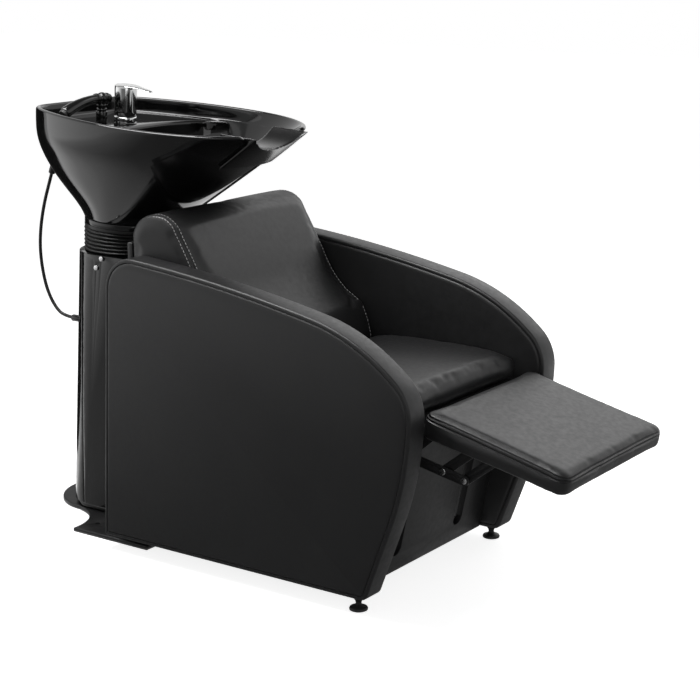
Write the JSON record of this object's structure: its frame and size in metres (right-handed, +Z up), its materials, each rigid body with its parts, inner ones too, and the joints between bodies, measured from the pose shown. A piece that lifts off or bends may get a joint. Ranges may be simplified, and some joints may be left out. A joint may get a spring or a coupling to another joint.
{
  "type": "shampoo chair",
  "caption": "Upholstered salon chair with solid armrests and a swing-out legrest, joined to a column that carries a tilting wash basin with mixer tap and hand shower.",
  "frame": {"origin": "floor, midway between the two anchor holes of the base plate", "axes": "+Z up, the sitter faces -Y, the basin stands on the +Y side, X across the chair"},
  "size_m": [0.6, 1.5095, 1.0187],
  "materials": {
    "leatherette": "charcoal leatherette, fine grain",
    "board": "plywood",
    "frame_steel": "satin black powder coat",
    "link_steel": "black coated strip",
    "bright_steel": "zinc plated",
    "foot_plastic": "black moulded glide",
    "basin_gloss": "gloss black glaze",
    "cover_gloss": "gloss black moulding",
    "black_rubber": "black rubber",
    "chrome": "polished chrome",
    "brass": "plain brass",
    "shower_plastic": "gloss black",
    "spray_grey": "grey spray plate",
    "pipe_plastic": "grey waste pipe"
  },
  "bodies": {
    "base": {"base_plate": "frame_steel", "plate_spacers": "frame_steel", "foot_ring": "cover_gloss", "mast": "frame_steel", "column_front_cover": "cover_gloss", "column_rear_cover": "cover_gloss", "column_cap": "cover_gloss", "column_screws": "bright_steel", "tilt_yoke": "frame_steel", "tilt_pin": "bright_steel", "bellows": "black_rubber", "column_hose_gland": "shower_plastic", "shower_hose": "black_rubber", "waste_pipe": "pipe_plastic", "waste_hose": "black_rubber", "levelling_feet": "foot_plastic", "foot_inserts": "bright_steel", "bottom_rail": "frame_steel", "right_arm_outer_pad": "leatherette", "right_arm_frame": "leatherette", "right_arm_inner_pad": "leatherette", "left_arm_outer_pad": "leatherette", "left_arm_frame": "leatherette", "left_arm_inner_pad": "leatherette", "seat_board": "board", "seat_cushion": "leatherette", "back_board": "board", "backrest_cushion": "leatherette", "rear_panel": "leatherette", "front_panel": "leatherette", "front_rail": "frame_steel", "rear_rail": "frame_steel", "mechanism_beam": "frame_steel", "side_plates": "link_steel", "hinge_rivets": "bright_steel"},
    "bowl_unit": {"bowl": "basin_gloss", "neck_rest": "black_rubber", "drain_tailpiece": "brass", "bowl_carrier": "frame_steel", "bellows_collar": "cover_gloss", "bowl_hose_gland": "shower_plastic", "tap_base_ring": "chrome", "tap_body": "chrome", "tap_nut": "brass", "shower_sleeve": "shower_plastic"},
    "strainer": {"drain_strainer": "chrome"},
    "tap_head": {"tap_ball": "chrome"},
    "lever": {"tap_lever": "chrome"},
    "hand_shower": {"shower_wand": "shower_plastic", "spray_face": "spray_grey"},
    "legrest": {"legrest_board": "board", "legrest_cushion": "leatherette", "legrest_brackets": "link_steel", "bracket_rivets": "bright_steel"},
    "cranks": {"crank_links": "link_steel", "torque_shaft": "link_steel", "crank_rivets": "bright_steel"},
    "front_coupler_pair": {"front_couplers": "link_steel"},
    "rear_coupler_pair": {"rear_couplers": "link_steel"}
  },
  "joints": [
    {"name": "bowl_tilt", "type": "hinge", "parent": "base", "child": "bowl_unit", "pos_m": [0, 0.045, 0.655], "axis": [1, 0, 0], "range_deg": [-14, 1], "deforming": ["bellows", "waste_hose", "shower_hose"]},
    {"name": "lever_turn", "type": "hinge", "parent": "bowl_unit", "child": "tap_head", "pos_m": [0, 0.05738, 0.9905], "axis": [0, -0.0645, 0.9979], "range_deg": [-45, 45]},
    {"name": "lever_lift", "type": "hinge", "parent": "tap_head", "child": "lever", "pos_m": [0, 0.05738, 0.9905], "axis": [-1, 0, 0], "range_deg": [0, 22]},
    {"name": "shower_lift", "type": "slide", "parent": "bowl_unit", "child": "hand_shower", "axis": [0, -0.0645, 0.9979], "range_m": [0, 0.12]},
    {"name": "strainer_lift", "type": "slide", "parent": "bowl_unit", "child": "strainer", "axis": [0, -0.0645, 0.9979], "range_m": [0, 0.08]},
    {"name": "legrest_fold", "type": "hinge", "parent": "base", "child": "legrest", "pos_m": [0, -0.898, 0.369], "axis": [1, 0, 0], "range_deg": [0, 93]},
    {"name": "crank_turn", "type": "hinge", "parent": "base", "child": "cranks", "pos_m": [0, -0.815, 0.304], "axis": [1, 0, 0], "range_deg": [0, 93]},
    {"name": "front_coupler_turn", "type": "hinge", "parent": "legrest", "child": "front_coupler_pair", "pos_m": [0, -1.04684, 0.33818], "axis": [1, 0, 0], "range_deg": [-93, 0]},
    {"name": "rear_coupler_turn", "type": "hinge", "parent": "legrest", "child": "rear_coupler_pair", "pos_m": [0, -0.99494, 0.34892], "axis": [1, 0, 0], "range_deg": [-93, 0]}
  ],
  "couplings": [
    {"joint": "crank_turn", "follows": "legrest_fold", "ratio": 1},
    {"joint": "front_coupler_turn", "follows": "legrest_fold", "ratio": -1},
    {"joint": "rear_coupler_turn", "follows": "legrest_fold", "ratio": -1}
  ]
}
